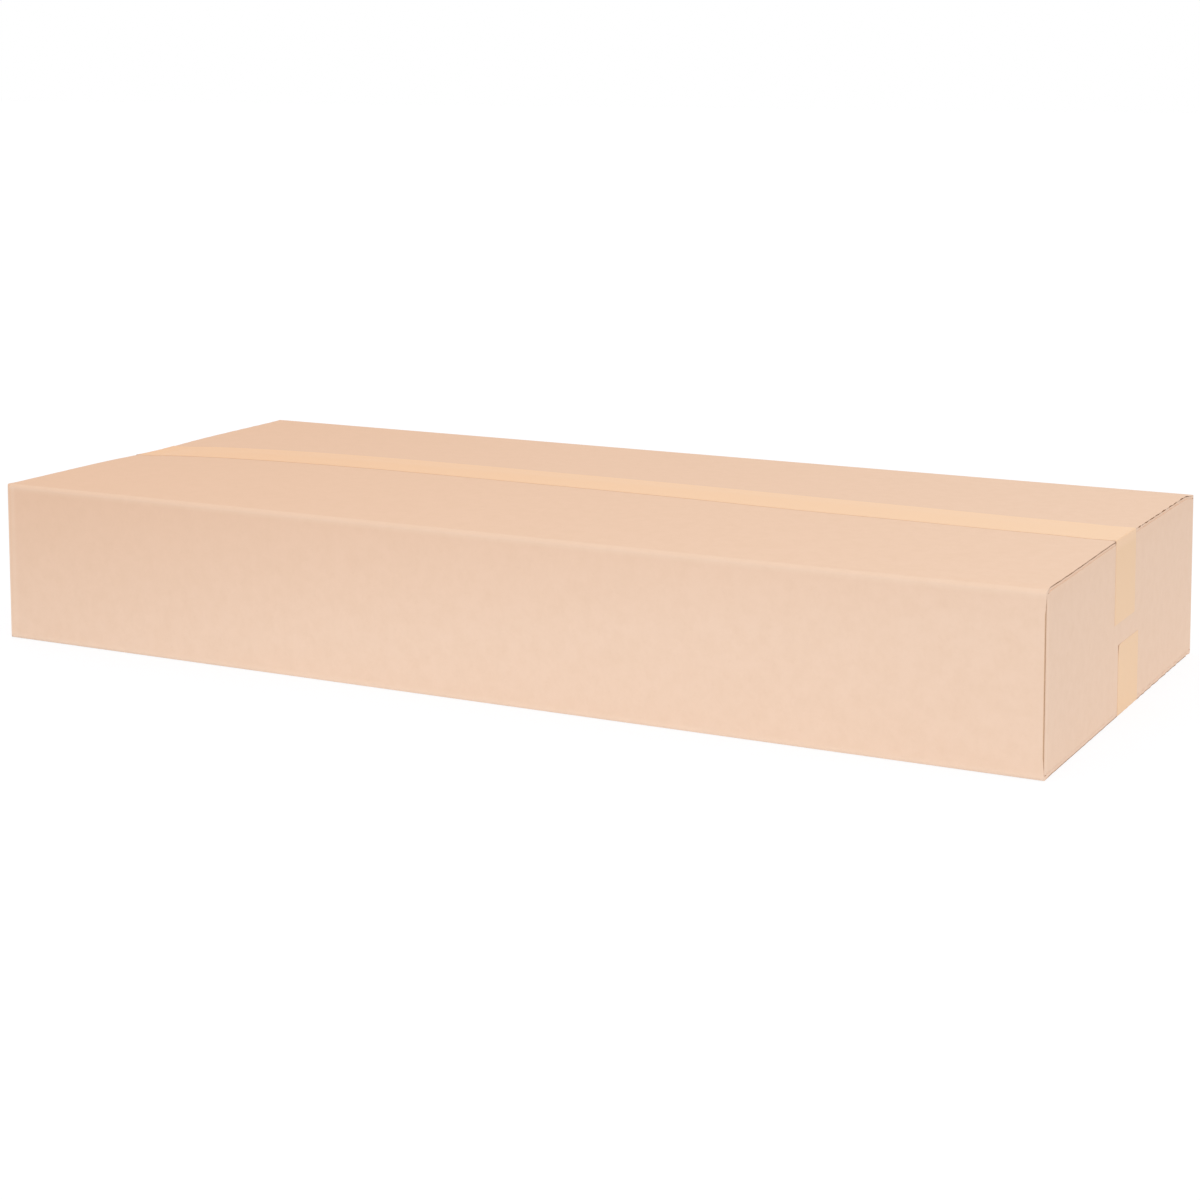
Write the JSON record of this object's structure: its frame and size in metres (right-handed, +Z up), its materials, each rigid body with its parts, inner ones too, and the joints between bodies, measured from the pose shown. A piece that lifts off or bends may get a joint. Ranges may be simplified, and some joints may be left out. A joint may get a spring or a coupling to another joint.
{
  "type": "closed cardboard box",
  "caption": "Long, low slotted carton of single-wall corrugated board, folded shut and taped along its top and bottom seams.",
  "frame": {"origin": "middle of the footprint, on the surface that the carton stands on", "axes": "+X along the length towards the end with the glued joint at its front corner, +Y from the front panel to the back panel, +Z up"},
  "size_m": [0.8302, 0.37, 0.1278],
  "materials": {
    "kraft_board": "matt kraft liner",
    "packing_tape": "clear film over tan adhesive, satin"
  },
  "bodies": {
    "root": {"carton": "kraft_board", "top_tape": "packing_tape", "bottom_tape": "packing_tape"}
  },
  "joints": []
}
